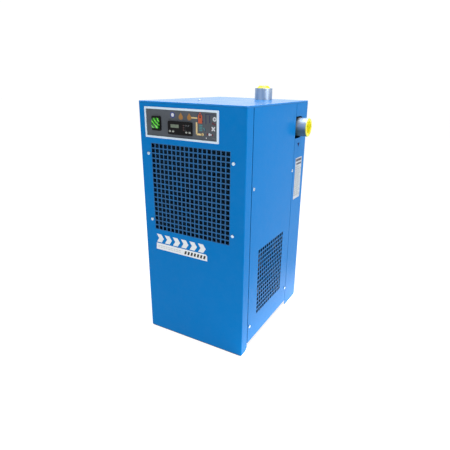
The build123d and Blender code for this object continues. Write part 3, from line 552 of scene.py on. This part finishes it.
def controller_print():
    """Hairline marks on the controller's face."""
    low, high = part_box("controller_housing")
    origin = Vector(((low.x + high.x) / 2, low.y, (low.z + high.z) / 2))
    marks = [rectangle(u, 7.5, 4.5, 0.7) for u in (22, 29)] + [rectangle(u, 10, 6, 0.7) for u in (23, 31)]
    marks += [rectangle(18.5, v, 2.6, 0.5) for v in (9, 3, -3)]
    marks += [rectangle(u, -5, 3, 0.5) for u in (-32.5, -21.5, 23, 34)]
    print_marks("controller_marks", "front", origin, marks, INKS["grey"], 0.05)


def front_decal():
    """A row of plain chevrons over a ruled strip, in place of the CAD bands."""
    low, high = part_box("front_decal")
    origin = Vector((low.x, high.y, low.z))
    length = (high.x - low.x) / MM
    film = 0.2
    chevrons = []
    count, gap, nose, base, tall = 6, 4, 9, 24.5, 27
    pitch = (length - gap) / count
    for number in range(count):
        tail = 3 + number * pitch
        tip = tail + pitch - gap
        chevrons.append([
            (tail, base), (tip - nose, base), (tip, base + tall / 2),
            (tip - nose, base + tall), (tail, base + tall), (tail + nose, base + tall / 2),
        ])
    row = print_marks("decal_chevrons", "front", origin, chevrons, finishes["printed_white"], film)
    outline = [(0, 0), (length, 0), (length, 16), (length - 4, 21), (1, 21)]
    strip = print_marks("decal_strip", "front", origin, [outline], finishes["printed_white"], film)
    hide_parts("front_decal")
    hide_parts("front_decal")
    lifted = origin + Vector((0, -film * MM, 0))
    rules = [
        rectangle(10 + 10 * k, v, 6.5 + (k * 5) % 3, 2.2)
        for v in (7.5, 13)
        for k in range(9)
    ]
    print_marks("decal_rules", "front", lifted, rules, INKS["pale"], 0.04)
    bars = [rectangle(112 + 11.4 * k, 10.5, 6.8, 11, 3) for k in range(7)]
    print_marks("decal_bars", "front", lifted, bars, INKS["black"], 0.04)


def side_print():
    """Header bars and ruled rows on the data plate."""
    low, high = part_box("side_labels")
    origin = Vector((high.x, (low.y + high.y) / 2, low.z + PLATE_HEIGHT / 2))
    header = [rectangle(0, 64, 53, 8), rectangle(3, 51, 46, 6)]
    print_marks("plate_header", "right", origin, header, INKS["navy"], 0.05)
    rows = []
    for row in range(14):
        v = 40 - row * 7.6
        lengths = (12 + (row * 7) % 8, 13 + (row * 5) % 10, 7 + (row * 3) % 6)
        u = -27
        for length in lengths:
            rows.append(rectangle(u + length / 2, v, length, 2.4))
            u += length + 3
    print_marks("plate_rows", "right", origin, rows, INKS["grey"], 0.05)


fascia_print()
controller_print()
front_decal()
side_print()


# --- Floor, light and camera ---------------------------------------------------------


def floor():
    """White sweep that glows, brightest in a pool along the cabinet's right side."""
    bpy.ops.mesh.primitive_plane_add(size=30, location=(0, 0, 0))
    plane = bpy.context.object
    plane.name = "floor"
    glow, pool_glow = 0.86, 1.6
    shader = Shader("floor_white", (0.3, 0.3, 0.3, 1), 0.8, Specular_IOR_Level=0.0)
    shader.roughness(shader.spread(shader.noise(3.0), 0.75, 0.85))
    split = shader.node("ShaderNodeSeparateXYZ")
    shader.link(shader.place, split.inputs["Vector"])
    pool = 1.0
    edges = (("X", 0.165, 0.18), ("X", 0.42, 0.2), ("Y", -0.42, -0.2), ("Y", 0.55, 0.25))
    for axis, start, end in edges:
        ramp = shader.node("ShaderNodeMapRange", interpolation_type="SMOOTHSTEP")
        ramp.inputs["From Min"].default_value = start
        ramp.inputs["From Max"].default_value = end
        shader.link(split.outputs[axis], ramp.inputs["Value"])
        pool = shader.math("MULTIPLY", ramp.outputs["Result"], pool)
    shader.surface.inputs["Emission Color"].default_value = (1, 1, 1, 1)
    strength = shader.math("ADD", shader.math("MULTIPLY", pool, pool_glow), glow)
    shader.link(strength, shader.surface.inputs["Emission Strength"])
    plane.data.materials.append(shader.material)


def softbox(name, place, target, size, power):
    """Square white area light aimed at a point."""
    data = bpy.data.lights.new(name, "AREA")
    data.size = size
    data.energy = power
    light = bpy.data.objects.new(name, data)
    bpy.context.scene.collection.objects.link(light)
    light.location = place
    light.rotation_euler = (Vector(target) - Vector(place)).to_track_quat("-Z", "Y").to_euler()


def studio():
    """Three soft boxes in a world that is white behind and to the left, and dim elsewhere."""
    world = bpy.data.worlds.new("studio")
    world.use_nodes = True
    tree = world.node_tree
    background = tree.nodes["Background"]
    background.inputs["Color"].default_value = (1, 1, 1, 1)
    split = tree.nodes.new("ShaderNodeSeparateXYZ")
    tree.links.new(tree.nodes.new("ShaderNodeTexCoord").outputs["Generated"], split.inputs["Vector"])
    levels = []
    for axis, start, end in (("X", 0.32, 0.1), ("Y", -0.1, 0.3)):
        ramp = tree.nodes.new("ShaderNodeMapRange")
        ramp.interpolation_type = "SMOOTHSTEP"
        ramp.inputs["From Min"].default_value = start
        ramp.inputs["From Max"].default_value = end
        tree.links.new(split.outputs[axis], ramp.inputs["Value"])
        levels.append(ramp.outputs["Result"])
    both = tree.nodes.new("ShaderNodeMath")
    both.operation = "MULTIPLY"
    tree.links.new(levels[0], both.inputs[0])
    tree.links.new(levels[1], both.inputs[1])
    strength = tree.nodes.new("ShaderNodeMapRange")
    strength.inputs["To Min"].default_value = 0.3
    strength.inputs["To Max"].default_value = 1.05
    tree.links.new(both.outputs["Value"], strength.inputs["Value"])
    tree.links.new(strength.outputs["Result"], background.inputs["Strength"])
    bpy.context.scene.world = world
    softbox("top_softbox", (0.1, 0.2, 2.6), (0, 0, 0.7), 1.6, 62)
    softbox("front_softbox", (-0.9, -2.6, 1.5), (0, 0, 0.4), 1.6, 8)
    softbox("right_softbox", (2.5, -0.5, 1.1), (0.1, 0, 0.4), 1.4, 24)


def camera():
    """The photo's viewpoint: a slightly rolled camera ahead of the right front corner."""
    azimuth = math.radians(28.114)
    elevation = math.radians(19.796)
    roll = math.radians(1.198)
    back = Vector((
        math.sin(azimuth) * math.cos(elevation),
        -math.cos(azimuth) * math.cos(elevation),
        math.sin(elevation),
    ))
    level = Vector((math.cos(azimuth), math.sin(azimuth), 0))
    upright = back.cross(level)
    right = level * math.cos(roll) + upright * math.sin(roll)
    up = upright * math.cos(roll) - level * math.sin(roll)
    data = bpy.data.cameras.new("camera")
    data.sensor_width = 36
    data.lens = 31.79
    data.shift_x = -0.0324
    data.shift_y = -0.003
    view = bpy.data.objects.new("camera", data)
    bpy.context.scene.collection.objects.link(view)
    pose = Matrix((right, up, back)).transposed().to_4x4()
    pose.translation = Vector((0.6407, -1.1235, 0.8013))
    view.matrix_world = pose
    bpy.context.scene.camera = view


floor()
studio()
camera()
bpy.context.scene.view_settings.view_transform = "Standard"
